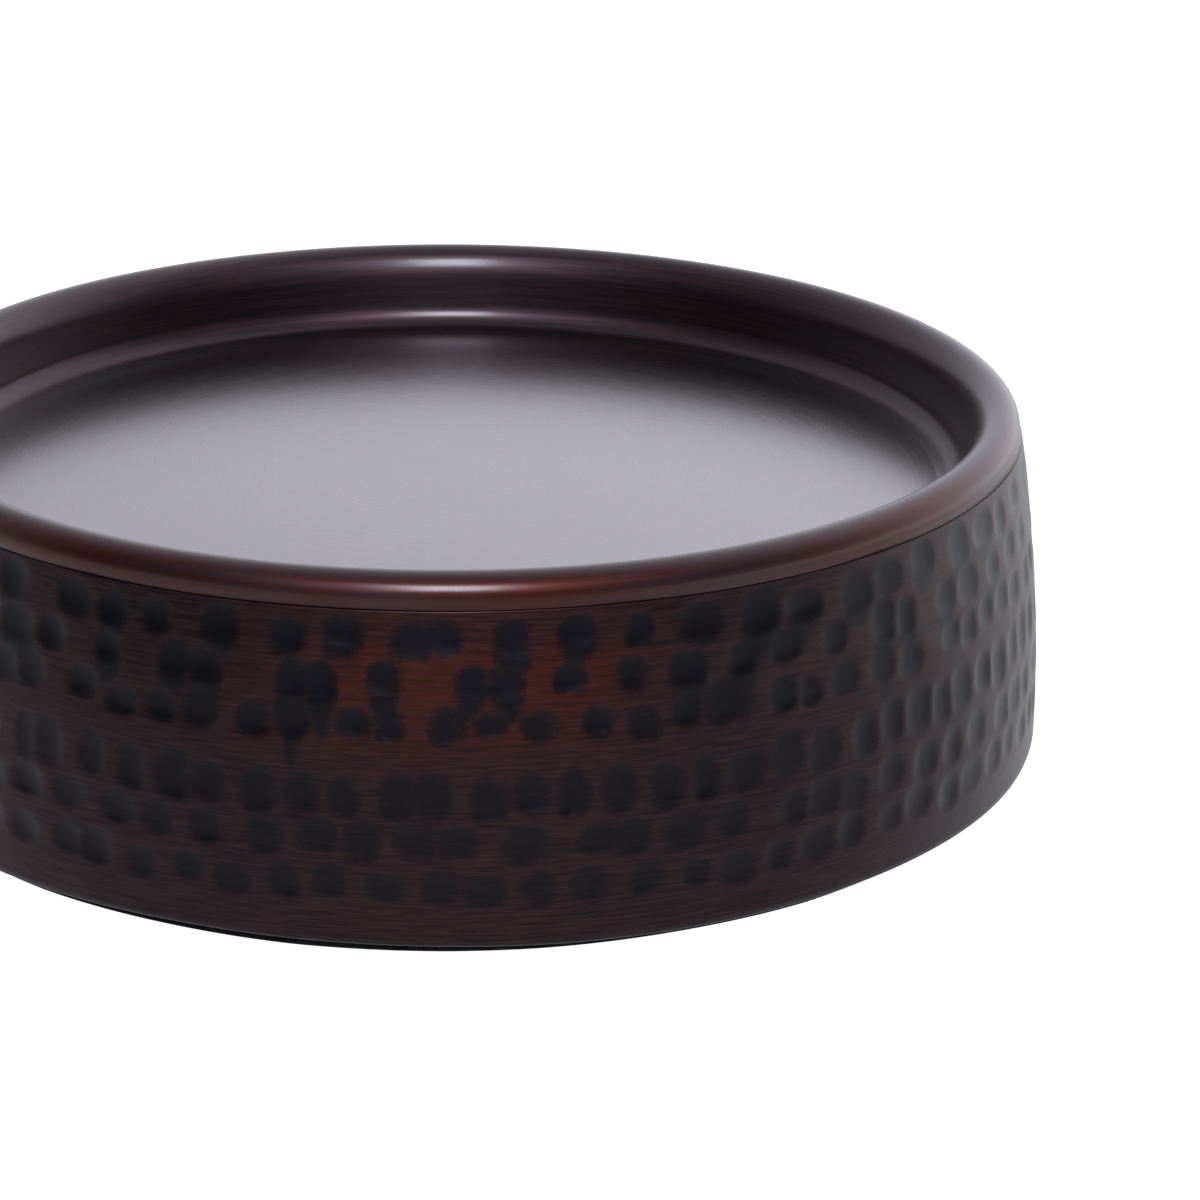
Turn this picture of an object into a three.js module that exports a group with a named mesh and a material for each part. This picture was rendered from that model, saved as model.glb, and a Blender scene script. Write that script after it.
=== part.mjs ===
// A low round dish in dark antiqued copper: a hammered drum, closed below by a flat plate, with a shallow
// spun tray set into its mouth. The tray's edge is rolled outwards and down into a smooth, hollow rim. The
// dish stands on a thin black pad. Millimetres, +Z up, origin at the middle of the pad's underside.
import * as THREE from "three";

// ---- Driving dimensions -------------------------------------------------------------------------------

// The hammered wall, a ring of sheet copper that narrows towards its top.
const FOOT_DIAMETER = 110.0; // across the wall's lower edge
const MOUTH_DIAMETER = 104.9; // across the wall's top
const WALL_HEIGHT = 28.5; // from the wall's lower edge to the lower edge of the rolled rim
const WALL_BULGE = 0.68; // how far the wall swells past a straight taper, half way up
const WALL_SHEET = 0.9;
const SHOULDER_RADIUS = 0.6; // round where the wall turns in under the rim

// The hammer marks, in rows round the wall. Each row is shifted by half a mark from the next.
const MARK_WIDTH = 4.8; // round the wall, at the foot
const MARK_HEIGHT = 4.05;
const MARK_DEPTH = 0.35;
const FOOT_BAND = 3.0; // left plain above the wall's lower edge
const NECK_BAND = 0.9; // left plain below the wall's top

// The tray, one spun sheet with its floor, cove, side and rolled rim.
const RIM_STEP = 0.1; // how far the wall's top stands out past the rim, all round
const RIM_WIDTH = 4.2;
const RIM_HEIGHT = 2.4; // from the rim's lower edge to its top
const TRAY_DEPTH = 8.0; // from the rim's top to the tray's floor
const COVE_RADIUS = 2.75; // round between the tray's floor and side
const TRAY_SHEET = 0.9;

// The plate that closes the drum from below.
const PLATE_SHEET = 0.8;
const PLATE_EDGE_HEIGHT = 4.0; // of its upturned edge
const PLATE_CORNER_RADIUS = 1.0;
const VENT_DIAMETER = 3.0; // lets the air out of the hollow while the dish is soldered

// The solder, and the pad with the film that sticks it on.
const RIM_SOLDER_LEG = 1.4;
const BASE_SOLDER_LEG = 1.2;
const PAD_THICKNESS = 0.9;
const PAD_INSET = 1.7; // from the wall's lower edge in to the pad's edge
const FILM_THICKNESS = 0.2;

// Clearances.
const SEAM_GAP = 0.3; // the open line between the rim's lower edge and the wall's shoulder
const TRAY_GAP = 0.3; // between the tray's side and the wall's turned-in top
const PLATE_GAP = 0.3; // between the plate's upturned edge, or its solder, and the wall

// How finely round things are cut into facets.
const ROUND_SEGMENTS = 72;
const RIM_STEPS = 8;
const COVE_STEPS = 4;
const CORNER_STEPS = 2;
const INSIDE_STEPS = 4;

// ---- Sizes that follow --------------------------------------------------------------------------------

const footRadius = FOOT_DIAMETER / 2;
const mouthRadius = MOUTH_DIAMETER / 2;
const rimRadius = mouthRadius - RIM_STEP;
const rollRadius = RIM_WIDTH / 2;
const traySideRadius = rimRadius - RIM_WIDTH;
const trayBackRadius = traySideRadius + TRAY_SHEET;
const wallTop = WALL_HEIGHT - SEAM_GAP;
const markRows = Math.round((wallTop - FOOT_BAND - NECK_BAND) / MARK_HEIGHT);
const marksRound = Math.round((Math.PI * FOOT_DIAMETER) / MARK_WIDTH);
const wallInsidePlate = [PLATE_CORNER_RADIUS, PLATE_EDGE_HEIGHT].map(wallInsideRadius);
const plateRadius = Math.min(...wallInsidePlate) - PLATE_GAP;
const plateFlatRadius = plateRadius - PLATE_CORNER_RADIUS;

// Heights of each piece's own zero above the surface that the dish stands on.
const padUnderside = 0;
const filmUnderside = padUnderside + PAD_THICKNESS;
const drumUnderside = filmUnderside + FILM_THICKNESS;
const dishTop = drumUnderside + WALL_HEIGHT + RIM_HEIGHT;

// ---- Outlines: points (radius, height), turned about the axis with the solid on their left -------------

// The outside of the wall before hammering: a straight taper with a shallow swell.
function wallRadius(height) {
  const share = height / WALL_HEIGHT;
  const taper = THREE.MathUtils.lerp(footRadius, mouthRadius, share);
  return taper + WALL_BULGE * 4 * share * (1 - share);
}

// The inside of the wall, which the hammer marks don't reach.
function wallInsideRadius(height) {
  return wallRadius(height) - WALL_SHEET;
}

function point(radius, height) {
  return new THREE.Vector2(radius, height);
}

// A round stretch of an outline, its ends included. Degrees run from +radius towards +height.
function arc(centreRadius, centreHeight, radius, fromDegrees, toDegrees, steps) {
  const points = [];
  for (let step = 0; step <= steps; step++) {
    const angle = THREE.MathUtils.degToRad(THREE.MathUtils.lerp(fromDegrees, toDegrees, step / steps));
    points.push(point(centreRadius + radius * Math.cos(angle), centreHeight + radius * Math.sin(angle)));
  }
  return points;
}

// Closes an outline that doesn't end on the axis.
function closed(points) {
  return [...points, points[0].clone()];
}

// The outline turned about the Y axis, which LatheGeometry uses, then stood up along Z.
function turned(points, segments = ROUND_SEGMENTS) {
  return new THREE.LatheGeometry(points, segments).rotateX(Math.PI / 2);
}

// ---- The pieces' geometries, each about its own zero height --------------------------------------------

// Zero is the floor's upper face.
function trayPan() {
  const floorRadius = traySideRadius - COVE_RADIUS;
  const rollCentre = rimRadius - rollRadius;
  const rollHeight = TRAY_DEPTH - rollRadius;
  const lipHeight = TRAY_DEPTH - RIM_HEIGHT;
  const underside = [
    point(0, -TRAY_SHEET),
    ...arc(floorRadius, COVE_RADIUS, COVE_RADIUS + TRAY_SHEET, -90, 0, COVE_STEPS),
    ...arc(rollCentre, rollHeight, rollRadius - TRAY_SHEET, 180, 0, RIM_STEPS),
    point(rimRadius - TRAY_SHEET, lipHeight),
  ];
  const showSide = [
    point(rimRadius, lipHeight),
    ...arc(rollCentre, rollHeight, rollRadius, 0, 180, RIM_STEPS),
    ...arc(floorRadius, COVE_RADIUS, COVE_RADIUS, 0, -90, COVE_STEPS),
    point(0, 0),
  ];
  return turned([...underside, ...showSide]);
}

// Zero is the wall's lower edge. The heights of the marks' middles alternate with those of the ridges.
function hammeredWall() {
  const markHeight = (wallTop - FOOT_BAND - NECK_BAND) / markRows;
  const outside = [point(footRadius, 0), point(wallRadius(FOOT_BAND), FOOT_BAND)];
  const firstMark = outside.length;
  for (let half = 1; half <= 2 * markRows; half++) {
    const height = FOOT_BAND + (half * markHeight) / 2;
    outside.push(point(wallRadius(height), height));
  }
  const shoulderFoot = wallTop - SHOULDER_RADIUS;
  const shoulderCentre = wallRadius(shoulderFoot) - SHOULDER_RADIUS;
  const shoulder = arc(shoulderCentre, shoulderFoot, SHOULDER_RADIUS, 0, 90, CORNER_STEPS);
  const turnedInTop = [
    point(trayBackRadius + TRAY_GAP, wallTop),
    point(trayBackRadius + TRAY_GAP, wallTop - WALL_SHEET),
  ];
  const inside = [];
  for (let step = INSIDE_STEPS; step >= 0; step--) {
    const height = ((wallTop - WALL_SHEET) * step) / INSIDE_STEPS;
    inside.push(point(wallInsideRadius(height), height));
  }
  const outline = closed([...outside, ...shoulder, ...turnedInTop, ...inside]);
  const geometry = new THREE.LatheGeometry(outline, 2 * marksRound);
  hammer(geometry, outline.length, firstMark);
  return geometry.rotateX(Math.PI / 2);
}

// Pushes the middle of each mark in. A lathe's vertices lie column by column, one column an outline.
function hammer(geometry, columnLength, firstMark) {
  const position = geometry.attributes.position;
  const pushedIn = new Set();
  for (let row = 0; row < markRows; row++) {
    for (let column = row % 2; column <= 2 * marksRound; column += 2) {
      const vertex = column * columnLength + firstMark + 2 * row;
      const radius = Math.hypot(position.getX(vertex), position.getZ(vertex));
      const share = (radius - MARK_DEPTH) / radius;
      position.setX(vertex, position.getX(vertex) * share);
      position.setZ(vertex, position.getZ(vertex) * share);
      pushedIn.add(vertex);
    }
  }
  splitThroughMarks(geometry.index, pushedIn);
}

// A lathe splits every square a, b, c, d from b to d. Where a or c is the middle of a mark, this splits it
// from a to c instead, so that each mark is an even pit of eight facets round its middle.
function splitThroughMarks(index, pushedIn) {
  for (let first = 0; first < index.count; first += 6) {
    const [a, b, d, c] = [0, 1, 2, 3].map((corner) => index.getX(first + corner));
    if (pushedIn.has(a) || pushedIn.has(c)) {
      [a, b, c, a, c, d].forEach((vertex, corner) => index.setX(first + corner, vertex));
    }
  }
}

// Zero is the underside of the wall's turned-in top: a quarter round between it and the tray's back.
function rimSolderRing() {
  const face = arc(trayBackRadius, 0, RIM_SOLDER_LEG, -90, 0, CORNER_STEPS);
  return turned(closed([...face, point(trayBackRadius, 0)]));
}

// Zero is the plate's underside.
function basePlate() {
  const inner = PLATE_CORNER_RADIUS - PLATE_SHEET;
  const outline = [
    point(VENT_DIAMETER / 2, 0),
    ...arc(plateFlatRadius, PLATE_CORNER_RADIUS, PLATE_CORNER_RADIUS, -90, 0, CORNER_STEPS),
    point(plateRadius, PLATE_EDGE_HEIGHT),
    point(plateRadius - PLATE_SHEET, PLATE_EDGE_HEIGHT),
    ...arc(plateFlatRadius, PLATE_CORNER_RADIUS, inner, 0, -90, CORNER_STEPS),
    point(VENT_DIAMETER / 2, PLATE_SHEET),
  ];
  return turned(closed(outline));
}

// Zero is the top of the plate's upturned edge: a flat-faced fillet from that edge up the wall's inside.
function baseSolderRing() {
  const foot = wallInsideRadius(PLATE_EDGE_HEIGHT) - PLATE_GAP;
  const top = wallInsideRadius(PLATE_EDGE_HEIGHT + BASE_SOLDER_LEG) - PLATE_GAP;
  const section = [point(plateRadius - PLATE_SHEET, 0), point(foot, 0), point(top, BASE_SOLDER_LEG)];
  return turned(closed(section));
}

// Zero is the disc's underside.
function disc(radius, thickness) {
  return turned([point(0, 0), point(radius, 0), point(radius, thickness), point(0, thickness)]);
}

// ---- The assembly -------------------------------------------------------------------------------------

function metal(color, roughness) {
  return new THREE.MeshStandardMaterial({ color, roughness, metalness: 1 });
}

function soft(color, roughness) {
  return new THREE.MeshStandardMaterial({ color, roughness, metalness: 0 });
}

function piece(name, geometry, material, height) {
  const mesh = new THREE.Mesh(geometry, material);
  mesh.name = name;
  mesh.position.z = height;
  return mesh;
}

const dish = new THREE.Group();
dish.name = "hammered_copper_dish";
dish.add(
  piece("tray_pan", trayPan(), metal(0x4a3230, 0.32), dishTop - TRAY_DEPTH),
  piece("hammered_wall", hammeredWall(), metal(0x5a2f22, 0.38), drumUnderside),
  piece("rim_solder_ring", rimSolderRing(), metal(0xa8a8ac, 0.45), drumUnderside + wallTop - WALL_SHEET),
  piece("base_plate", basePlate(), metal(0x8a4f36, 0.45), drumUnderside),
  piece("base_solder_ring", baseSolderRing(), metal(0xa8a8ac, 0.45), drumUnderside + PLATE_EDGE_HEIGHT),
  piece("pad_adhesive", disc(plateFlatRadius, FILM_THICKNESS), soft(0xe8e4d8, 0.6), filmUnderside),
  piece("base_pad", disc(footRadius - PAD_INSET, PAD_THICKNESS), soft(0x141416, 0.9), padUnderside),
);

export default dish;
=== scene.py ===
# %% [markdown]
# # A hammered copper soap dish
#
# The real object is a low, round, double-walled dish. A ring of sheet copper, covered in hammer marks, is
# the outer wall. A shallow spun tray drops into its mouth, and the tray's edge is rolled outwards into a
# smooth rim. The copper is darkened to near black, rubbed back on the high places, and lacquered.
#
# This lesson builds the parts that can be seen around a fixed CAD frame. The frame gives the places, in
# metres, and the lesson adds what a quick stand-in lacks: real hammer marks, soft edges and a worn patina.

# %% Open the fixed frame
import math

import bmesh
import bpy
import numpy as np
from mathutils import Matrix, Vector


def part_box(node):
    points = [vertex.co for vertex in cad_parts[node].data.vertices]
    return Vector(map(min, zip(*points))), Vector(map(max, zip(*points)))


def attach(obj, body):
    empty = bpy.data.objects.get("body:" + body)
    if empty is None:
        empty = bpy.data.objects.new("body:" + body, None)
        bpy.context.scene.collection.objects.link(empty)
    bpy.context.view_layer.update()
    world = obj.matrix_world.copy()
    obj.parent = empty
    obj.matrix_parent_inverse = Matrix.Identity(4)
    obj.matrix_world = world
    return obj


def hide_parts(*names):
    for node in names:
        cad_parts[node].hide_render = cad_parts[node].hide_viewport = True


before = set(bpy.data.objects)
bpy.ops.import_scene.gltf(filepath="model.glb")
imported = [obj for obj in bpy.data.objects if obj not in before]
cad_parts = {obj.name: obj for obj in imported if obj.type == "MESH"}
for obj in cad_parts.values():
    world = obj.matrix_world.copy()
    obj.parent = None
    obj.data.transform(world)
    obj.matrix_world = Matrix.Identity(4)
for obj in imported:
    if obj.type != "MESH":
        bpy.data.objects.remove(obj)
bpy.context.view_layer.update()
print("the frame holds:", ", ".join(sorted(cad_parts)))

# %% [markdown]
# ## The camera comes first
#
# The dish is seen from a little above, as by a person at a wash basin, through a long lens that keeps the
# circle from looking stretched. The camera could be aimed with a Track To constraint. Here its turn is
# written as three small rotations instead, because then the slight roll of a hand-held shot can be kept.

# %% Stand the camera in front of the dish
CAMERA_PLACE = (0.0, -0.3284, 0.1320)
CAMERA_TURN = -2.454
CAMERA_DOWN = 20.218
CAMERA_ROLL = 0.735
SENSOR_WIDTH = 36.0
LENS_LENGTH = 111.76


def turn(degrees, axis):
    return Matrix.Rotation(math.radians(degrees), 4, axis)


lens = bpy.data.cameras.new("dish_camera")
lens.sensor_width = SENSOR_WIDTH
lens.lens = LENS_LENGTH
camera = bpy.data.objects.new("dish_camera", lens)
camera.matrix_world = (
    Matrix.Translation(CAMERA_PLACE)
    @ turn(CAMERA_TURN, "Z")
    @ turn(90 - CAMERA_DOWN, "X")
    @ turn(CAMERA_ROLL, "Z")
)
bpy.context.scene.collection.objects.link(camera)
bpy.context.scene.camera = camera
print("the camera is", round(camera.location.length, 3), "m from the middle of the dish's foot")

# %% [markdown]
# ## Outlines
#
# Everything on this dish is round, so every piece starts as an outline: points of (radius, height) that are
# swept once round the upright axis, as a lathe does. Blender has a Screw modifier for this. Building the
# mesh in numpy takes no longer, and it gives each vertex a known row and column, so the hammer marks can be
# pressed in before the mesh is made. Outlines are written in millimetres and turned into metres at the end.

# %% Draw straight and round stretches of an outline
MM = 0.001


def straight(start, end, step):
    """Points along a straight stretch, about one step apart."""
    start, end = np.array(start), np.array(end)
    count = max(1, round(math.dist(start, end) / step))
    return [tuple(start + (end - start) * k / count) for k in range(count + 1)]


def bend(centre, reach, start, end, count):
    """An arc about centre. Reach is (outwards, upwards), and degrees run from outwards to upwards."""
    turns = np.radians(np.linspace(start, end, count + 1))
    return [(centre[0] + reach[0] * math.cos(t), centre[1] + reach[1] * math.sin(t)) for t in turns]


def rounded(before, corner, after, radius, count):
    """The arc that rounds a corner between two straight stretches, so that it runs smoothly into both."""
    before, corner, after = (np.array(spot, float) for spot in (before, corner, after))
    first = (before - corner) / math.dist(before, corner)
    second = (after - corner) / math.dist(after, corner)
    half = math.acos(np.clip(first @ second, -1, 1)) / 2
    middle = corner + (first + second) / np.linalg.norm(first + second) * radius / math.sin(half)
    start = corner + first * radius / math.tan(half) - middle
    end = corner + second * radius / math.tan(half) - middle
    sweep = math.pi - 2 * half
    arc = []
    for share in np.linspace(0, 1, count + 1):
        spoke = math.sin((1 - share) * sweep) * start + math.sin(share * sweep) * end
        arc.append(tuple(middle + spoke / math.sin(sweep)))
    return arc


quarter = bend((0, 0), (1, 1), 0, 90, 3)
print("a quarter turn in three steps:", [(round(x, 2), round(z, 2)) for x, z in quarter])

# %% [markdown]
# An outline is several such stretches, one after another. Where one ends and the next begins there would be
# two points in one place, and a face with no area between them, which can shade as a black speck. So the
# helper below leaves the second point out.

# %% Join the stretches
SAME_SPOT = 1e-4


def joined(*stretches):
    """One outline from several stretches, without the points where two of them meet twice."""
    outline = []
    for stretch in stretches:
        for spot in stretch:
            if not outline or math.dist(spot, outline[-1]) > SAME_SPOT:
                outline.append(tuple(float(number) for number in spot))
    if math.dist(outline[0], outline[-1]) < SAME_SPOT:
        outline.pop()
    return np.array(outline)


corner_trial = joined(straight((0, 0), (2, 0), 1), straight((2, 0), (2, 2), 1))
print("two stretches of three points make an outline of", len(corner_trial))

# %% [markdown]
# Sweeping an outline gives a grid of rings. The helper below also stores how far each vertex lies along the
# outline. A brushed finish needs that number, because brush lines run round the dish and must be fine across
# the outline and long the other way.

# %% Sweep an outline round the axis
ON_AXIS = 1e-7


def spun(name, outline, columns, shaped):
    """A closed, turned mesh. Shaped moves the grids of radius and height, in millimetres, and reads the
    angles.
    """
    angles = np.linspace(0, 2 * np.pi, columns, endpoint=False)[:, None]
    radius = np.repeat(outline[None, :, 0], columns, 0)
    height = np.repeat(outline[None, :, 1], columns, 0)
    radius, height, stored = shaped(radius, angles, height)
    corners = np.stack([radius * np.cos(angles), radius * np.sin(angles), height], -1).reshape(-1, 3) * MM
    mesh = bpy.data.meshes.new(name)
    mesh.from_pydata(corners.tolist(), [], ring_faces(columns, len(outline)).tolist())
    steps = np.hypot(*(np.roll(outline, -1, 0) - outline).T)
    stored["along"] = np.repeat((np.cumsum(steps) - steps)[None], columns, 0)
    for key, numbers in stored.items():
        attribute = mesh.attributes.new(key, "FLOAT", "POINT")
        attribute.data.foreach_set("value", numbers.ravel().astype(np.float32))
    weld_axis(mesh)
    mesh.shade_smooth()
    piece = bpy.data.objects.new(name, mesh)
    bpy.context.scene.collection.objects.link(piece)
    print(name, "has", len(mesh.vertices), "vertices and", len(mesh.polygons), "faces")
    return piece


def ring_faces(columns, rows):
    """The four corners of each face of a grid that closes on itself both ways."""
    column, row = np.meshgrid(np.arange(columns), np.arange(rows), indexing="ij")
    here = column * rows + row
    above = column * rows + (row + 1) % rows
    beside = (column + 1) % columns * rows + row
    both = (column + 1) % columns * rows + (row + 1) % rows
    return np.stack([here, beside, both, above], -1).reshape(-1, 4)


def weld_axis(mesh):
    """Draws the points that lie on the axis into one."""
    cage = bmesh.new()
    cage.from_mesh(mesh)
    middle = [v for v in cage.verts if math.hypot(v.co.x, v.co.y) < ON_AXIS]
    bmesh.ops.remove_doubles(cage, verts=middle, dist=ON_AXIS)
    cage.to_mesh(mesh)
    cage.free()


print("a grid of 4 columns and 3 rows has", len(ring_faces(4, 3)), "faces")

# %% [markdown]
# Nothing made by hand is a true circle. Each piece gets a few gentle waves round it, none higher than a
# tenth of a millimetre. Noise could do this, but it would have to be matched up where the circle closes. A
# sum of sine waves that go round a whole number of times closes by itself.

# %% Add gentle waves round a piece
def waviness(waves, angles, height):
    """A sum of waves, each given as (size in millimetres, how many go round, where it starts, slant)."""
    return sum(size * np.sin(many * angles + start + slant * height) for size, many, start, slant in waves)


WALL_WAVES = ((0.05, 5, 0.6, 0.0), (0.04, 9, 0.0, 0.16))
FOOT_WAVES = ((0.05, 7, 0.9, 0.0),)
TRAY_WAVES = ((0.05, 2, 0.4, 0.0), (0.035, 5, 1.7, 0.0))
PAD_WAVES = ((0.10, 4, 0.3, 0.0), (0.07, 11, 2.0, 0.0))
print("the pad's edge wanders", round(float(waviness(PAD_WAVES, 0.5, 0.0)), 3), "mm at half a radian")

# %% [markdown]
# ## The hammered wall
#
# The wall narrows from 110 mm at the foot to 105 mm at the mouth, with a slight swell. It was beaten from
# outside with a nearly flat hammer, in six rows that go round the ring. Each blow left a shallow pit a few
# millimetres across. Rows differ: the lower ones are close and even, the top one is loose and some of its
# marks run together.
#
# Bump mapping could paint the marks, but the wall's outline would stay smooth, and the marks would be lost
# wherever the mesh is used without its material. So the pits are pressed into the mesh.

# %% Lay out the wall's outline
wall_low, wall_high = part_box("hammered_wall")
FOOT_RADIUS = wall_high.x / MM
FOOT_LEVEL = wall_low.z / MM
WALL_TOP = wall_high.z / MM
WALL_HEIGHT = WALL_TOP - FOOT_LEVEL
TAPER_HEIGHT = 28.5
MOUTH_RADIUS = 52.45
TURNED_IN_RADIUS = 49.35
WALL_SWELL = 0.68
COPPER_SHEET = 0.9
EDGE_ROUND = 0.22
SHOULDER_ROUND = 0.10
WALL_STEP = 0.36


def wall_radius(height):
    """Outside radius at a height above the foot. At the taper's full height it's the mouth's radius."""
    share = height / TAPER_HEIGHT
    return FOOT_RADIUS + (MOUTH_RADIUS - FOOT_RADIUS) * share + WALL_SWELL * 4 * share * (1 - share)


def wall_outline():
    """Up the outside in small steps, in over the turned shoulder, and down the plain inside."""
    shoulder = WALL_HEIGHT - SHOULDER_ROUND
    under_shoulder = WALL_HEIGHT - COPPER_SHEET
    outside = [(wall_radius(h), h) for h in np.arange(EDGE_ROUND, shoulder, WALL_STEP)]
    inside = [(wall_radius(h) - COPPER_SHEET, h) for h in np.linspace(under_shoulder, EDGE_ROUND, 8)]
    shoulder_middle = (wall_radius(shoulder) - SHOULDER_ROUND, shoulder)
    inner_foot = wall_radius(0) - COPPER_SHEET + EDGE_ROUND
    lines = joined(
        bend((FOOT_RADIUS - EDGE_ROUND, EDGE_ROUND), (EDGE_ROUND, EDGE_ROUND), -90, 0, 3),
        outside,
        bend(shoulder_middle, (SHOULDER_ROUND, SHOULDER_ROUND), 0, 90, 5),
        [(TURNED_IN_RADIUS, WALL_HEIGHT), (TURNED_IN_RADIUS, under_shoulder)],
        inside,
        bend((inner_foot, EDGE_ROUND), (EDGE_ROUND, EDGE_ROUND), 180, 270, 2),
    )
    lines[:, 1] += FOOT_LEVEL
    return lines


print("the wall is", round(WALL_HEIGHT, 2), "mm high, and its outline has", len(wall_outline()), "points")

# %% [markdown]
# Each row of marks has its height, the pitch from mark to mark, and the marks' width, height and depth. A
# seeded random generator shifts and resizes every blow a little, and a few land almost on their neighbour.
# Drawing from one generator, always in the same order, gives the same dish on every run.

# %% Strike the hammer marks
MARK_ROWS = (
    # height, pitch, half width, half height, depth, unevenness, hanging stain
    (5.1, 4.20, 1.82, 1.60, 0.20, 0.09, 0.0),
    (9.0, 4.40, 1.92, 1.78, 0.20, 0.11, 0.0),
    (13.4, 3.75, 1.74, 2.20, 0.22, 0.08, 0.0),
    (18.5, 4.05, 1.78, 1.62, 0.19, 0.14, 0.0),
    (22.4, 4.85, 1.75, 1.60, 0.17, 0.16, 0.6),
    (26.1, 4.95, 1.95, 1.62, 0.17, 0.16, 0.3),
)
ROW_SWAY = 0.35
LEVEL_SCATTER = 0.22
WIDTH_SCATTER = (0.11, 0.2, 0.25)
HEIGHT_SCATTER = (0.10, 0.2, 0.25)
DEPTH_SCATTER = (0.18, 0.4, 0.4)
LONGEST_HANG = 2.4
hammer = np.random.default_rng(41)


def varied(size, scatter, most_off, most_on):
    """A size made smaller or larger at random, by no more than the given shares."""
    return size * (1 + np.clip(hammer.normal(0, scatter), -most_off, most_on))


def strike():
    """Every blow as (angle, height, half width, half height, depth, stain), in millimetres and radians."""
    struck = []
    for level, pitch, wide, tall, deep, uneven, hanging in MARK_ROWS:
        count = round(2 * math.pi * wall_radius(level) / pitch)
        start, drift = hammer.uniform(0, 2 * math.pi, 2)
        for k in range(count):
            angle = start + 2 * math.pi * (k + hammer.normal(0, uneven)) / count
            sway = ROW_SWAY * math.sin(angle + drift) + hammer.normal(0, LEVEL_SCATTER)
            width = varied(wide, *WIDTH_SCATTER)
            height = varied(tall, *HEIGHT_SCATTER)
            depth = varied(deep, *DEPTH_SCATTER)
            stain = hanging * hammer.uniform(0, LONGEST_HANG) ** 2
            struck.append((angle, level + sway, width, height, depth, stain))
    return struck


blows = strike()
print("the hammer struck", len(blows), "times in", len(MARK_ROWS), "rows")

# %% [markdown]
# A mark is a rounded square rather than a circle, because the hammer's face was nearly flat, and its lower
# edge is steeper, because the face leant slightly downwards. The curve |x|^n + |y|^n = 1 gives that shape: a
# circle when n is 2, and squarer as n grows. The blows are pressed into the grid one after another, and
# where two overlap the deeper one wins.
#
# The same loop notes where the black stain sits. It covers each pit, spreads a little past it, and under
# some of the upper pits it hangs further down.

# %% Press one blow after another
SQUARENESS = 2.4
PIT_POWER = 1.15
UPPER_SLOPE = 1.12
LOWER_SLOPE = 0.92
STAIN_SPREAD = 1.06
STAIN_TAPER = 0.3
STAIN_POWER = 0.6


def pressed(angles, heights):
    """How deep the hammered surface lies, and how much stain is left, at each angle and height."""
    depth = np.zeros(heights.shape)
    stain = np.zeros(heights.shape)
    for angle, level, wide, tall, deep, hanging in blows:
        across = (np.mod(angles - angle + np.pi, 2 * np.pi) - np.pi) * wall_radius(level) / wide
        near = np.abs(across[:, 0]) < STAIN_SPREAD
        side = np.abs(across[near])
        up = (heights[near] - level) / tall
        reach = np.where(up > 0, UPPER_SLOPE, LOWER_SLOPE)
        pit = 1 - side**SQUARENESS - np.abs(up / reach) ** SQUARENESS
        depth[near] = np.maximum(depth[near], deep * np.clip(pit, 0, None) ** PIT_POWER)
        stain_reach = np.where(up > 0, UPPER_SLOPE, LOWER_SLOPE + hanging) * STAIN_SPREAD
        taper = side / STAIN_SPREAD * np.where(up < -1, 1 - STAIN_TAPER * (up + 1), 1)
        mark = 1 - taper**SQUARENESS - np.abs(up / stain_reach) ** SQUARENESS
        stain[near] = np.maximum(stain[near], np.clip(mark, 0, None) ** STAIN_POWER)
    return depth, stain


deepest = max(blow[4] for blow in blows)
print("the deepest blow goes in", round(float(deepest), 3), "mm")

# %% [markdown]
# Now the wall is made. Only its outside is dented. The foot was trimmed by hand, so its edge is a little
# uneven, and at one place it lifts off the pad. The wall also stores a number for three broad places round
# the dish, and the finish reads it later to show more warm copper there. That copper is partly rubbed and
# partly a painted sheen, because one of the places faces the camera and the soft box.

# %% Spin the hammered wall
WALL_COLUMNS = 960
FOOT_UNEVEN = 0.06
FOOT_FADE = 3.0
FOOT_LIFT = 0.30
LIFT_ANGLE = 4.27
LIFT_SPREAD = 0.30
# Three places of warm copper: rubbing, and where one of them faces the soft box, painted sheen.
RUB_AND_SHEEN_PLACES = 3
RUB_AND_SHEEN_ANGLE = 1.56
RUB_AND_SHEEN_FOCUS = 4


def hammered(radius, angles, height):
    """Dents the outside of the wall, lifts the foot's edge here and there, and notes stain, and rubbing
    mixed with painted sheen.
    """
    above_foot = height - FOOT_LEVEL
    outside = radius > wall_radius(np.clip(above_foot, 0, None)) - 0.5 * COPPER_SHEET
    depth, stain = pressed(angles, above_foot)
    beaten = np.abs(waviness(WALL_WAVES, angles, height))
    one_place = FOOT_LIFT * np.exp(-(((angles - LIFT_ANGLE) / LIFT_SPREAD) ** 2))
    lift = FOOT_UNEVEN + waviness(FOOT_WAVES, angles, height) + one_place
    fade = np.clip(1 - above_foot / FOOT_FADE, 0, 1) ** 2
    # One place faces the camera and the soft box, so this number paints sheen as well as rubbing.
    facing = 0.5 + 0.5 * np.cos(RUB_AND_SHEEN_PLACES * (angles + RUB_AND_SHEEN_ANGLE))
    rub_and_sheen = np.broadcast_to(facing**RUB_AND_SHEEN_FOCUS, height.shape)
    radius = radius - (depth + beaten) * outside
    height = height + np.clip(lift, 0, None) * fade
    return radius, height, {"stain": stain * outside, "rub_and_sheen": rub_and_sheen}


wall = spun("hammered_copper_wall", wall_outline(), WALL_COLUMNS, hammered)
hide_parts("hammered_wall")
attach(wall, "root")

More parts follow.
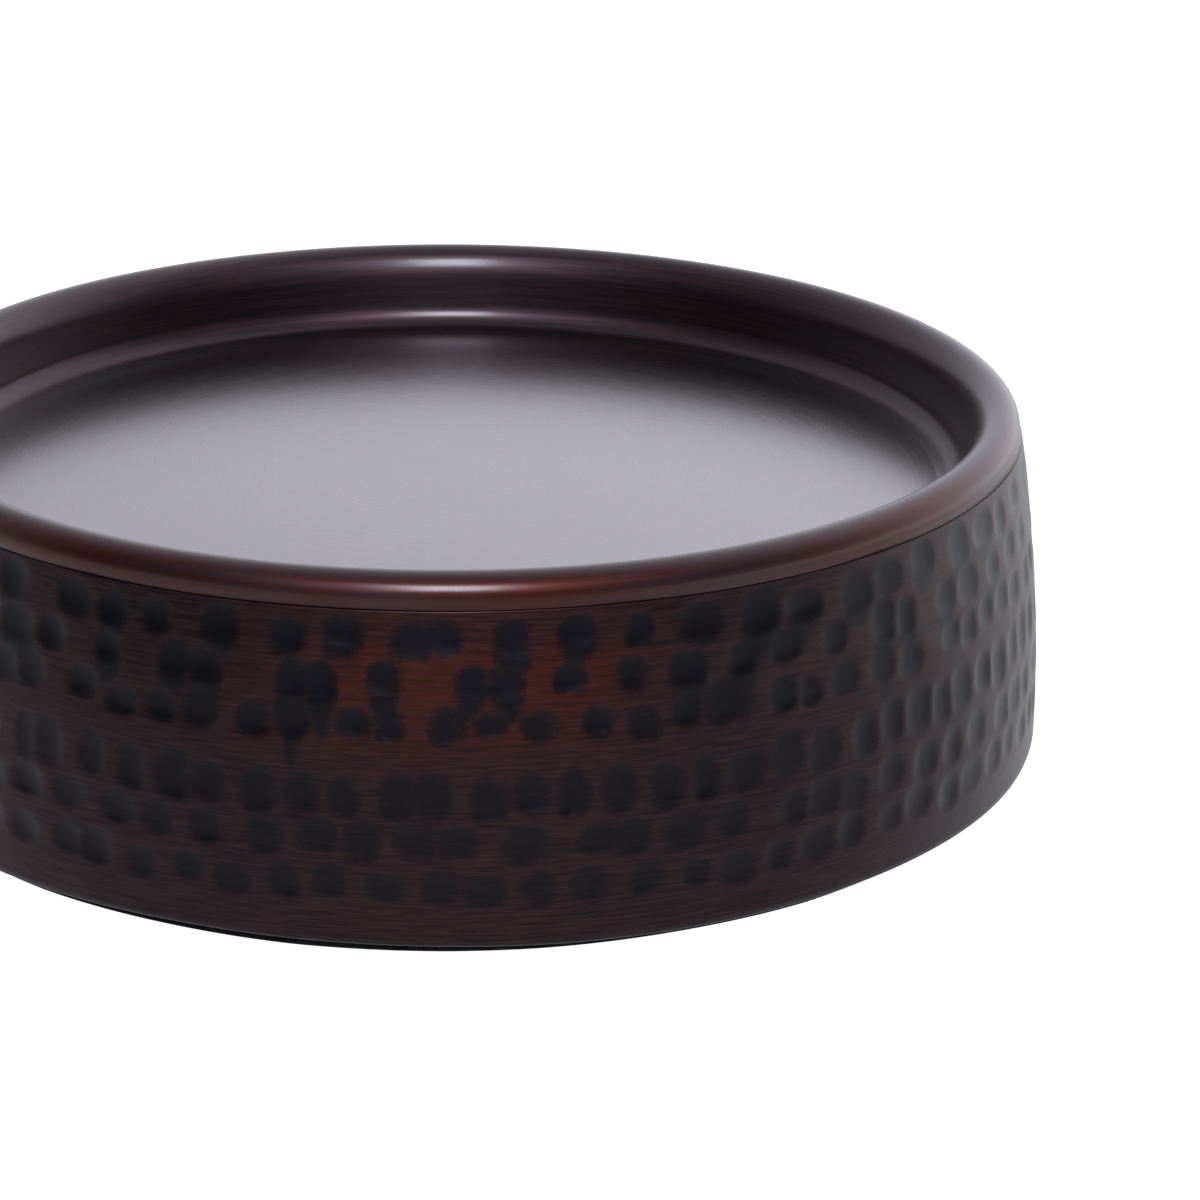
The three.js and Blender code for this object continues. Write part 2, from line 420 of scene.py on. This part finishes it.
# %% [markdown]
# ## The tray
#
# The tray is one spun sheet: a flat floor, a crease where a shallow ledge starts, a small cove, an upright
# side, and an edge rolled outwards and down. The roll is rounder on the inside, where it turns into the
# side, and tighter on the outside. Its lower edge comes down on the wall and leaves only a hairline.
#
# A Bezier curve could be drawn through these places by hand. Arcs of stated radius are used instead, one of
# them stretched upwards, because a spinner's form is made of them and highlights run evenly along them. The
# back of the sheet has a larger cove of its own, so that the sheet stays about as thick round the bend.

# %% Note the tray's sizes
DISH_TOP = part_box("tray_pan")[1].z / MM
TRAY_FLOOR = 24.0
FLOOR_RADIUS = 45.1
LEDGE_SLOPE = 5.5
CREASE_ROUND = 0.6
COVE = 2.2
SIDE_LEAN = 2.0
INNER_ROLL = (2.3, 3.4)
OUTER_ROLL = 1.85
OUTER_LEAN = 9.0
SEAM_RADIUS = 52.42
HAIRLINE = 0.02
RIM_EDGE_ROUND = 0.06
BACK_COVE = 2.74
BACK_CORNER_DROP = 0.36
BACK_CREASE_SHIFT = 0.3
HUB_RADIUS = 4.0
print("the tray is", round(DISH_TOP - TRAY_FLOOR, 2), "mm deep")
print("its flat floor is", 2 * FLOOR_RADIUS, "mm across")

# %% [markdown]
# The outline goes once round the sheet: along the back of the floor, up the back of the side, over inside
# the roll, round the thin lower edge, and back over the roll, down the side and across the floor.

# %% Draw the tray's outline
def rim_crown(lean, lower_edge):
    """The radius of the rim's highest ring, found back from where the rim's edge meets the wall."""
    straight_part = DISH_TOP - OUTER_ROLL + OUTER_ROLL * math.sin(lean) - lower_edge
    return SEAM_RADIUS - OUTER_ROLL * math.cos(lean) - straight_part * math.tan(lean)


def cove_corner(side_top):
    """Where the leaning side and the sloping ledge would meet if no cove rounded them."""
    rise = math.tan(math.radians(LEDGE_SLOPE))
    run = math.tan(math.radians(SIDE_LEAN))
    height = (TRAY_FLOOR + rise * (side_top[0] - run * side_top[1] - FLOOR_RADIUS)) / (1 - rise * run)
    return side_top[0] + run * (height - side_top[1]), height


def tray_outline():
    skin = COPPER_SHEET
    lower_edge = WALL_TOP + HAIRLINE
    crown = rim_crown(math.radians(OUTER_LEAN), lower_edge)
    outer_middle = (crown, DISH_TOP - OUTER_ROLL)
    inner_middle = (crown, DISH_TOP - INNER_ROLL[1])
    edge_middle = (SEAM_RADIUS - skin / 2, lower_edge + RIM_EDGE_ROUND)
    stretch = INNER_ROLL[1] / INNER_ROLL[0]
    side_turn = math.degrees(math.atan(math.tan(math.radians(SIDE_LEAN)) * stretch))
    inner_roll = bend(inner_middle, INNER_ROLL, 90, 180 - side_turn, 20)
    under_roll = bend(inner_middle, (INNER_ROLL[0] - skin, INNER_ROLL[1] - skin), 180 - side_turn, 90, 8)
    crease = (FLOOR_RADIUS, TRAY_FLOOR)
    corner = cove_corner(inner_roll[-1])
    cove = rounded(inner_roll[-1], corner, crease, COVE, 12)
    crease_arc = rounded(corner, crease, (0, TRAY_FLOOR), CREASE_ROUND, 5)
    back_crease = (FLOOR_RADIUS + BACK_CREASE_SHIFT, TRAY_FLOOR - skin)
    back_corner = (corner[0] + skin, corner[1] - BACK_CORNER_DROP)
    return joined(
        [(0, TRAY_FLOOR - skin)],
        straight((HUB_RADIUS, TRAY_FLOOR - skin), back_crease, 6),
        rounded(back_crease, back_corner, under_roll[0], BACK_COVE, 8),
        under_roll,
        bend(outer_middle, (OUTER_ROLL - skin, OUTER_ROLL - skin), 90, OUTER_LEAN, 6),
        bend(edge_middle, (skin / 2, RIM_EDGE_ROUND), 180, 360, 8),
        bend(outer_middle, (OUTER_ROLL, OUTER_ROLL), OUTER_LEAN, 90, 14),
        inner_roll,
        straight(inner_roll[-1], cove[0], 0.4),
        cove,
        straight(cove[-1], crease_arc[0], 0.3),
        crease_arc,
        straight(crease_arc[-1], (HUB_RADIUS, TRAY_FLOOR), 2.0),
        [(0, TRAY_FLOOR)],
    )


print("the tray's outline has", len(tray_outline()), "points")

# %% [markdown]
# Spinning presses a turning disc of sheet over a form with a long tool. The sheet springs back unevenly, so
# the side is never quite round. The waves are strongest on the side and die away towards the floor and
# towards the rim, which has to sit evenly on the wall.

# %% Spin the tray
TRAY_COLUMNS = 512
WAVES_START = 40.0
WAVES_GROW = 8.0
STEADY_RIM = 2.2
WAVES_DIE = 1.5


def hand_finished(radius, angles, height):
    """Draws the side inwards by a little that changes round the tray."""
    side = np.clip((radius - WAVES_START) / WAVES_GROW, 0, 1)
    inner = np.clip((SEAM_RADIUS - STEADY_RIM - radius) / WAVES_DIE, 0, 1)
    return radius - np.abs(waviness(TRAY_WAVES, angles, height)) * side * inner, height, {}


tray = spun("copper_tray", tray_outline(), TRAY_COLUMNS, hand_finished)
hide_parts("tray_pan")
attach(tray, "root")

# %% [markdown]
# ## The pad under the foot
#
# A thin disc of black foam keeps the copper off the basin. It's cut a little smaller than the foot, so only
# its edge shows, as a dark line. Foam cut by hand has a softly rounded edge that isn't quite a circle. It's
# too thin and too firm to need cloth simulation, so it's swept like the rest.

# %% Cut the pad
pad_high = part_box("base_pad")[1]
PAD_RADIUS = pad_high.x / MM
PAD_TOP = pad_high.z / MM
PAD_ROUND = 0.28
PAD_HUB = 6.0
PAD_FADE = 3.0
PAD_COLUMNS = 360


def pad_outline():
    edge = PAD_RADIUS - PAD_ROUND
    return joined(
        [(0, 0)],
        straight((PAD_HUB, 0), (edge, 0), 4),
        bend((edge, PAD_ROUND), (PAD_ROUND, PAD_ROUND), -90, 0, 5),
        bend((edge, PAD_TOP - PAD_ROUND), (PAD_ROUND, PAD_ROUND), 0, 90, 5),
        straight((edge, PAD_TOP), (PAD_HUB, PAD_TOP), 4),
        [(0, PAD_TOP)],
    )


def hand_cut(radius, angles, height):
    """Draws the pad's edge inwards by a little that changes round it."""
    edge = np.clip((radius - PAD_RADIUS + PAD_FADE) / PAD_FADE, 0, 1)
    return radius - np.abs(waviness(PAD_WAVES, angles, height)) * edge, height, {}


pad = spun("foam_foot_pad", pad_outline(), PAD_COLUMNS, hand_cut)
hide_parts("base_pad")
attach(pad, "root")

# %% [markdown]
# ## Finishes
#
# Each finish is a small tree of nodes. A few helpers keep the trees readable: one adds a node and fills its
# sockets, one does a sum, one blends two colours. A socket takes either a number or another node's output.

# %% Write the node helpers
def finish(name):
    """A new material, its node tree and its main shader."""
    material = bpy.data.materials.new(name)
    material.use_nodes = True
    tree = material.node_tree
    return material, tree, tree.nodes["Principled BSDF"]


def node(tree, kind, inputs=None, **settings):
    made = tree.nodes.new("ShaderNode" + kind)
    for key, value in settings.items():
        setattr(made, key, value)
    for key, value in (inputs or {}).items():
        if isinstance(value, bpy.types.NodeSocket):
            tree.links.new(value, made.inputs[key])
        else:
            made.inputs[key].default_value = value
    return made


def reckon(tree, operation, *numbers):
    return node(tree, "Math", dict(enumerate(numbers)), operation=operation).outputs[0]


def blend_colours(tree, share, first, second):
    mix = node(tree, "Mix", {"Factor": share}, data_type="RGBA")
    for key, value in (("A", first), ("B", second)):
        socket = next(s for s in mix.inputs if s.name == key and s.type == "RGBA")
        if isinstance(value, bpy.types.NodeSocket):
            tree.links.new(value, socket)
        else:
            socket.default_value = (*value, 1)
    return next(s for s in mix.outputs if s.type == "RGBA")


def wear(piece, material):
    """Puts a finish on a piece made above."""
    piece.data.materials.append(material)
    print(piece.name, "wears", material.name, "with", len(material.node_tree.nodes), "nodes")


print("the node helpers are ready")

# %% [markdown]
# The next helpers say where on the piece something happens. A ramp turns a range of one number into a soft
# change in another. Grain is noise. Brush lines are noise too, in a space that is squeezed: its direction
# comes from the place round the dish, and its height from the distance along the outline stored earlier. So
# the lines run round the dish on the wall, the rim and the floor alike, with no seam where they show.

# %% Write the helpers for place and pattern
def ramp(tree, number, low, high, to_low=0.0, to_high=1.0):
    settings = {"Value": number, "From Min": low, "From Max": high, "To Min": to_low, "To Max": to_high}
    return node(tree, "MapRange", settings, interpolation_type="SMOOTHSTEP").outputs[0]


def grain(tree, vector, scale, detail=4.0, roughness=0.55):
    inputs = {"Vector": vector, "Scale": scale, "Detail": detail, "Roughness": roughness}
    return node(tree, "TexNoise", inputs).outputs["Fac"]


def stored_number(tree, name):
    return node(tree, "Attribute", attribute_name=name).outputs["Fac"]


def flat_place(tree, spot):
    """The place with its height left out."""
    return node(tree, "VectorMath", {0: spot, 1: (1, 1, 0)}, operation="MULTIPLY").outputs[0]


def brush_lines(tree, across, round_about, detail, roughness):
    """Streaks round the dish. Across and round_about say how close they lie and how often they break."""
    flat = flat_place(tree, node(tree, "TexCoord").outputs["Object"])
    outward = node(tree, "VectorMath", {0: flat}, operation="NORMALIZE").outputs[0]
    ring = node(tree, "VectorMath", {0: outward, "Scale": round_about}, operation="SCALE").outputs[0]
    climb = reckon(tree, "MULTIPLY", stored_number(tree, "along"), across)
    lift = node(tree, "CombineXYZ", {"Z": climb}).outputs[0]
    place = node(tree, "VectorMath", {0: ring, 1: lift}, operation="ADD").outputs[0]
    return grain(tree, place, 1.0, detail, roughness)


def bumpy(tree, shader, height, strength, distance):
    """Lets light catch on a pattern that's too fine to be worth building in the mesh."""
    bump = node(tree, "Bump", {"Height": height, "Strength": strength, "Distance": distance})
    tree.links.new(bump.outputs[0], shader.inputs["Normal"])


print("the pattern helpers are ready")

# %% [markdown]
# ## Antiqued copper on the wall
#
# The copper was blackened, then rubbed with a fine abrasive going round the dish, which brings back a red
# brown on the high ground and leaves the pits blue black. The Geometry node's Pointiness could find the
# pits, but not the stains that hang below them. The stain stored on the mesh holds both. Noise frays its
# border, as the abrasive did.
#
# The warm copper isn't even, and part of it is a painted sheen of the soft box in front. It shows on the
# upper half, which tilts up towards that box, it fades just under the rim, and it's strongest at the three
# stored places, one of which faces the box. Brush lines break it up.

# %% Mix the patina of the hammered wall
# Warm copper is rubbed copper and, on the upper front, a painted sheen of the soft box.
WARM_COPPER_AND_SHEEN = (0.054, 0.0130, 0.0070)
DULL_COPPER = (0.0275, 0.0150, 0.0165)
DARK_COPPER = (0.0115, 0.0072, 0.0088)
BLACKENED = (0.0080, 0.0072, 0.0098)
LONG_STREAKS = (4.5, 14.0, 5.0, 0.62)
SHORT_STREAKS = (6.0, 70.0, 3.0, 0.6)
FINE_FRAY = 0.7
COARSE_FRAY = 1.3
FRAY_GRAIN = (520.0, 4.0, 0.70)
PATCH_GRAIN = (60.0, 2.0)
STAIN_EDGE = (0.15, 0.95)
# Each of the next five goes from one height or grain value to another, and from one strength to another.
STAIN_FADE = (8.0 * MM, 24.0 * MM, 0.80, 1.0)
WARM_AND_SHEEN_LEVELS = (14.0 * MM, 23.0 * MM, 0.10, 1.0)
UNDER_RIM = (24.0 * MM, 28.5 * MM, 1.0, 0.40)
WARM_PATCHES = (0.28, 0.74, 0.10, 1.0)
WARM_STREAKS = (0.30, 0.66, 0.35, 1.0)
DULL_STREAKS = (0.30, 0.70)


def black_share(tree, spot, level, short_streaks):
    """How black each place is: the stored stain with a frayed border, a little thinner low down."""
    clouds = grain(tree, spot, *FRAY_GRAIN)
    frayed = stored_number(tree, "stain")
    for pattern, strength in ((short_streaks, FINE_FRAY), (clouds, COARSE_FRAY)):
        frayed = reckon(tree, "MULTIPLY_ADD", reckon(tree, "SUBTRACT", pattern, 0.5), strength, frayed)
    return reckon(tree, "MULTIPLY", ramp(tree, frayed, *STAIN_EDGE), ramp(tree, level, *STAIN_FADE))


def warm_and_sheen_share(tree, spot, level, streaks):
    """How far the rubbing brought the red copper back, together with a painted sheen of the soft box on the
    upper front.
    """
    rub_and_sheen = reckon(tree, "MULTIPLY", stored_number(tree, "rub_and_sheen"), 0.5)
    patches = reckon(tree, "MULTIPLY_ADD", grain(tree, spot, *PATCH_GRAIN), 0.5, rub_and_sheen)
    # Painted sheen of the soft box is mixed in here, on the upper half and at the stored places.
    warmth_and_sheen = reckon(tree, "MULTIPLY", ramp(tree, level, *WARM_AND_SHEEN_LEVELS), ramp(tree, level, *UNDER_RIM))
    warmth_and_sheen = reckon(tree, "MULTIPLY", warmth_and_sheen, ramp(tree, patches, *WARM_PATCHES))
    return reckon(tree, "MULTIPLY", warmth_and_sheen, ramp(tree, streaks, *WARM_STREAKS))


print("the stain fades towards the foot to", STAIN_FADE[2], "of its strength")

# %% [markdown]
# Brushed metal is rougher across its lines than along them. Anisotropic shading could stand for that, but
# it shows no single line. Here the lines are a shallow bump, and the roughness follows the same streaks. A
# very thin lacquer lies on top, which adds a faint white shine.

# %% Put the wall's finish together
# A roughness is (how much it varies, least value), and a relief is (strength, depth in metres).
WALL_ROUGHNESS = (0.16, 0.38)
WALL_RELIEF = (0.25, 0.00004)
SHORT_STREAK_RELIEF = 0.8
WALL_COAT = 0.08
WALL_COAT_ROUGHNESS = 0.26


def hammered_finish():
    material, tree, shader = finish("hammered_antique_copper")
    spot = node(tree, "TexCoord").outputs["Object"]
    level = node(tree, "SeparateXYZ", {0: spot}).outputs["Z"]
    streaks = brush_lines(tree, *LONG_STREAKS)
    short_streaks = brush_lines(tree, *SHORT_STREAKS)
    dull = blend_colours(tree, ramp(tree, streaks, *DULL_STREAKS), DARK_COPPER, DULL_COPPER)
    land = blend_colours(tree, warm_and_sheen_share(tree, spot, level, streaks), dull, WARM_COPPER_AND_SHEEN)
    colour = blend_colours(tree, black_share(tree, spot, level, short_streaks), land, BLACKENED)
    tree.links.new(colour, shader.inputs["Base Color"])
    tree.links.new(reckon(tree, "MULTIPLY_ADD", streaks, *WALL_ROUGHNESS), shader.inputs["Roughness"])
    lines = reckon(tree, "MULTIPLY_ADD", short_streaks, SHORT_STREAK_RELIEF, streaks)
    bumpy(tree, shader, lines, *WALL_RELIEF)
    shader.inputs["Metallic"].default_value = 1.0
    shader.inputs["Coat Weight"].default_value = WALL_COAT
    shader.inputs["Coat Roughness"].default_value = WALL_COAT_ROUGHNESS
    return material


wear(wall, hammered_finish())

# %% [markdown]
# ## Smooth copper on the tray
#
# The tray had the same blackening, but it was rubbed while it turned, so its lines are circles. The rim is
# touched most, so more red shows there, and the floor stays dark.
#
# The floor also shines more than the side and the rim. Two separate materials would leave a hard line where
# they meet. One material whose roughness and lacquer change across a narrow band has no such line.

# %% Finish for the tray
TRAY_DARK = (0.028, 0.0175, 0.0210)
TRAY_RUBBED = (0.044, 0.0235, 0.0250)
RIM_COPPER = (0.040, 0.0078, 0.0046)
TRAY_RINGS = (3.2, 4.0, 5.0, 0.6)
TRAY_CLOUDS = (45.0, 3.0)
RING_COLOURS = (0.38, 0.66)
RUBBED_RINGS = (0.80, 1.20, 0.25, 1.0)
RIM_BAND = ((SEAM_RADIUS - OUTER_ROLL - 0.2) * MM, (SEAM_RADIUS - 0.5) * MM)
FLOOR_BAND = (45.5 * MM, 47.0 * MM)
FLOOR_TO_SIDE_ROUGHNESS = (0.20, 0.44)
FLOOR_TO_SIDE_LACQUER = (0.72, 0.30)
RING_ROUGHNESS = 0.12
TRAY_RELIEF = (0.26, 0.00003)
TRAY_COAT_ROUGHNESS = 0.22


def tray_finish():
    material, tree, shader = finish("spun_antique_copper")
    spot = node(tree, "TexCoord").outputs["Object"]
    reach = node(tree, "VectorMath", {0: flat_place(tree, spot)}, operation="LENGTH").outputs["Value"]
    rings = brush_lines(tree, *TRAY_RINGS)
    clouds = grain(tree, spot, *TRAY_CLOUDS)
    rubbed = ramp(tree, reckon(tree, "ADD", rings, clouds), *RUBBED_RINGS)
    worn = reckon(tree, "MULTIPLY", ramp(tree, reach, *RIM_BAND), rubbed)
    body = blend_colours(tree, ramp(tree, rings, *RING_COLOURS), TRAY_DARK, TRAY_RUBBED)
    tree.links.new(blend_colours(tree, worn, body, RIM_COPPER), shader.inputs["Base Color"])
    smooth = ramp(tree, reach, *FLOOR_BAND, *FLOOR_TO_SIDE_ROUGHNESS)
    rough = reckon(tree, "MULTIPLY_ADD", rings, RING_ROUGHNESS, smooth)
    tree.links.new(rough, shader.inputs["Roughness"])
    lacquer = ramp(tree, reach, *FLOOR_BAND, *FLOOR_TO_SIDE_LACQUER)
    tree.links.new(lacquer, shader.inputs["Coat Weight"])
    bumpy(tree, shader, rings, *TRAY_RELIEF)
    shader.inputs["Metallic"].default_value = 1.0
    shader.inputs["Coat Roughness"].default_value = TRAY_COAT_ROUGHNESS
    return material


wear(tray, tray_finish())

# %% [markdown]
# ## Foam
#
# The pad is closed-cell foam: matt, nearly black, with tiny cells. Voronoi cells are the natural choice for
# it, because foam is bubbles pressed together. It hardly shines, so its specular level is close to nothing.

# %% Finish for the pad
FOAM_COLOURS = ((0.003, 0.003, 0.0035), (0.009, 0.009, 0.010))
FOAM_MOTTLE = (0.35, 0.7)
FOAM_GRAIN = 700.0
FOAM_CELLS = 3200.0
FOAM_ROUGHNESS = (0.15, 0.78)
FOAM_RELIEF = (0.5, 0.0001)
FOAM_SHINE = 0.05


def foam_finish():
    material, tree, shader = finish("black_foam")
    spot = node(tree, "TexCoord").outputs["Object"]
    cells = node(tree, "TexVoronoi", {"Vector": spot, "Scale": FOAM_CELLS}).outputs["Distance"]
    mottle = grain(tree, spot, FOAM_GRAIN)
    colour = blend_colours(tree, ramp(tree, mottle, *FOAM_MOTTLE), *FOAM_COLOURS)
    tree.links.new(colour, shader.inputs["Base Color"])
    tree.links.new(reckon(tree, "MULTIPLY_ADD", mottle, *FOAM_ROUGHNESS), shader.inputs["Roughness"])
    bumpy(tree, shader, cells, *FOAM_RELIEF)
    shader.inputs["Specular IOR Level"].default_value = FOAM_SHINE
    return material


wear(pad, foam_finish())

# %% [markdown]
# ## The pieces that stay as the frame made them
#
# The film, the two rings of solder and the plate hardly show, and their plain shapes are right. They could
# keep the frame's flat colours, but the dish may be taken apart or turned over, so each gets a finish of its
# own. First the film that sticks the pad down, which is slightly yellow and mottled.

# %% Finish for the film
FILM_COLOURS = ((0.42, 0.40, 0.34), (0.62, 0.59, 0.52))
FILM_GRAIN = 260.0
FILM_ROUGHNESS = (0.2, 0.4)


def give(name, material):
    """Puts a finish on one of the frame's own pieces."""
    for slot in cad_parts[name].material_slots:
        slot.material = material
    print(name, "wears", material.name, "with", len(material.node_tree.nodes), "nodes")


def film_finish():
    material, tree, shader = finish("adhesive_film")
    mottle = grain(tree, node(tree, "TexCoord").outputs["Object"], FILM_GRAIN)
    tree.links.new(blend_colours(tree, mottle, *FILM_COLOURS), shader.inputs["Base Color"])
    tree.links.new(reckon(tree, "MULTIPLY_ADD", mottle, *FILM_ROUGHNESS), shader.inputs["Roughness"])
    return material


give("pad_adhesive", film_finish())

# %% [markdown]
# Soft solder cools dull grey and a little lumpy. Both rings were run from the same stick, so one material
# serves for both.

# %% Finish for the solder
SOLDER_COLOURS = ((0.20, 0.20, 0.21), (0.46, 0.46, 0.47))
SOLDER_GRAIN = 420.0
SOLDER_ROUGHNESS = (0.3, 0.3)
SOLDER_RELIEF = (0.5, 0.0002)


def solder_finish():
    material, tree, shader = finish("dull_solder")
    lumps = grain(tree, node(tree, "TexCoord").outputs["Object"], SOLDER_GRAIN)
    tree.links.new(blend_colours(tree, lumps, *SOLDER_COLOURS), shader.inputs["Base Color"])
    tree.links.new(reckon(tree, "MULTIPLY_ADD", lumps, *SOLDER_ROUGHNESS), shader.inputs["Roughness"])
    bumpy(tree, shader, lumps, *SOLDER_RELIEF)
    shader.inputs["Metallic"].default_value = 1.0
    return material


solder = solder_finish()
give("rim_solder_ring", solder)
give("base_solder_ring", solder)

# %% [markdown]
# The base plate is plain copper sheet that was never blackened, because nobody sees it. Rolled sheet has
# straight lines one way, so its noise is squeezed across, and brown tarnish lies over it in patches.

# %% Finish for the base plate
SHEET_COLOURS = ((0.38, 0.14, 0.075), (0.52, 0.21, 0.12))
TARNISH_COLOUR = (0.16, 0.07, 0.05)
TARNISH_GRAIN = 60.0
TARNISH_PATCHES = (0.45, 0.75)
ROLLING = (1.0, 14.0, 1.0)
ROLLING_GRAIN = (120.0, 5.0)
SHEET_ROUGHNESS = (0.25, 0.28)
SHEET_RELIEF = (0.15, 0.00003)


def plate_finish():
    material, tree, shader = finish("plain_copper_sheet")
    spot = node(tree, "TexCoord").outputs["Object"]
    stretched = node(tree, "VectorMath", {0: spot, 1: ROLLING}, operation="MULTIPLY").outputs[0]
    lines = grain(tree, stretched, *ROLLING_GRAIN)
    tarnish = grain(tree, spot, TARNISH_GRAIN)
    sheet = blend_colours(tree, lines, *SHEET_COLOURS)
    colour = blend_colours(tree, ramp(tree, tarnish, *TARNISH_PATCHES), sheet, TARNISH_COLOUR)
    tree.links.new(colour, shader.inputs["Base Color"])
    tree.links.new(reckon(tree, "MULTIPLY_ADD", tarnish, *SHEET_ROUGHNESS), shader.inputs["Roughness"])
    bumpy(tree, shader, lines, *SHEET_RELIEF)
    shader.inputs["Metallic"].default_value = 1.0
    return material


give("base_plate", plate_finish())

# %% [markdown]
# ## The studio
#
# A dark, shiny object shows its surroundings more than its own colour, so the surroundings are the light.
# The wall mirrors the floor in front of it. A real studio darkens that floor with a black card beside the
# camera. Here the floor glows by itself and its glow is turned down instead: it dims towards the camera,
# which keeps the wall dark, and on the left, and it brightens on the right, which lights the wall's right
# end. From the camera's place these changes lie outside the view, or where the floor is white in any case.
# From lower down two of them show, as a grey corner on the left and a greyer floor in front.

# %% Lay the floor
FLOOR_REACH = 4.0
FLOOR_GAP = 0.00005
FLOOR_SQUARES = 8
FLOOR_GRAIN = 3.0
FLOOR_ROUGHNESS = 0.9
FLOOR_GREYS = ((0.115, 0.115, 0.115), (0.125, 0.125, 0.125))
FLOOR_TINT = (0.94, 0.95, 1.0, 1)
# Each change of glow runs from one place to another, in metres, and from one strength to another.
NEAR_TO_FAR = (-0.45, -0.10, 0.05, 1.06)
LEFT_EDGE = (-0.28, -0.12, 0.50, 1.0)
RIGHT_EDGE = (0.09, 0.25, 1.0, 2.4)


def floor_finish():
    material, tree, shader = finish("pale_floor")
    spot = node(tree, "TexCoord").outputs["Object"]
    place = node(tree, "SeparateXYZ", {0: spot}).outputs
    glow = ramp(tree, place["Y"], *NEAR_TO_FAR)
    glow = reckon(tree, "MULTIPLY", glow, ramp(tree, place["X"], *LEFT_EDGE))
    glow = reckon(tree, "MULTIPLY", glow, ramp(tree, place["X"], *RIGHT_EDGE))
    colour = blend_colours(tree, grain(tree, spot, FLOOR_GRAIN), *FLOOR_GREYS)
    tree.links.new(colour, shader.inputs["Base Color"])
    tree.links.new(glow, shader.inputs["Emission Strength"])
    shader.inputs["Emission Color"].default_value = FLOOR_TINT
    shader.inputs["Roughness"].default_value = FLOOR_ROUGHNESS
    shader.inputs["Specular IOR Level"].default_value = 0.0
    return material


cage = bmesh.new()
bmesh.ops.create_grid(cage, x_segments=FLOOR_SQUARES, y_segments=FLOOR_SQUARES, size=FLOOR_REACH)
floor_mesh = bpy.data.meshes.new("pale_floor")
cage.to_mesh(floor_mesh)
cage.free()
floor = bpy.data.objects.new("pale_floor", floor_mesh)
floor.location.z = -FLOOR_GAP
floor_mesh.materials.append(floor_finish())
bpy.context.scene.collection.objects.link(floor)
print("the floor is", 2 * FLOOR_REACH, "m square")

# %% [markdown]
# The room could be lit with many lamps. A glowing world with soft changes in it does the same with no hot
# spots. It's bright behind the dish, which gives the tray's floor its silvery sheen, nearly dark behind the
# camera, a little dimmer overhead, and brighter on the right than on the left.

# %% Light the room
ROOM_TINT = (0.89, 0.90, 1.0, 1)
# Each change runs over a part of a direction from -1 to 1, and from one strength to another.
FRONT_TO_BACK = (-0.45, 0.55, 0.08, 1.60)
LOW_TO_HIGH = (0.30, 0.80, 1.0, 0.85)
LEFT_TO_RIGHT = (-0.8, 0.9, 0.70, 1.75)


def light_room():
    room = bpy.data.worlds.new("soft_studio")
    room.use_nodes = True
    tree = room.node_tree
    way = node(tree, "SeparateXYZ", {0: node(tree, "TexCoord").outputs["Generated"]}).outputs
    strength = ramp(tree, way["Y"], *FRONT_TO_BACK)
    strength = reckon(tree, "MULTIPLY", strength, ramp(tree, way["Z"], *LOW_TO_HIGH))
    strength = reckon(tree, "MULTIPLY", strength, ramp(tree, way["X"], *LEFT_TO_RIGHT))
    background = tree.nodes["Background"]
    tree.links.new(strength, background.inputs["Strength"])
    background.inputs["Color"].default_value = ROOM_TINT
    bpy.context.scene.world = room
    print("the room is", round(FRONT_TO_BACK[3] / FRONT_TO_BACK[2]), "times brighter behind the dish")


light_room()

# %% [markdown]
# One soft box stands above and behind the camera, turned to the dish. It draws the thin bright line along
# the rim and the smaller one in the cove at the back. The box's width sets how long such a line is, and
# its height sets how thick, so the box is taller than it is wide.

# %% Set up the soft box
BOX_PLACE = (0.0, -0.80, 0.70)
BOX_WIDTH = 0.26
BOX_HEIGHT = 0.42
BOX_POWER = 17.0
BOX_TINT = (0.79, 0.87, 1.0)
BOX_AIM = (0, 0, 0.02)

light = bpy.data.lights.new("front_box", "AREA")
light.shape = "RECTANGLE"
light.size = BOX_WIDTH
light.size_y = BOX_HEIGHT
light.energy = BOX_POWER
light.color = BOX_TINT
box = bpy.data.objects.new("front_box", light)
box.location = BOX_PLACE
box.rotation_euler = (Vector(BOX_AIM) - Vector(BOX_PLACE)).to_track_quat("-Z", "Y").to_euler()
bpy.context.scene.collection.objects.link(box)
print("the soft box gives", BOX_POWER, "W over", BOX_WIDTH, "by", BOX_HEIGHT, "m")

# %% [markdown]
# ## Last steps
#
# A plain view transform keeps whites white, which suits a pale studio.

# %% Set the view
bpy.context.scene.view_settings.view_transform = "Standard"
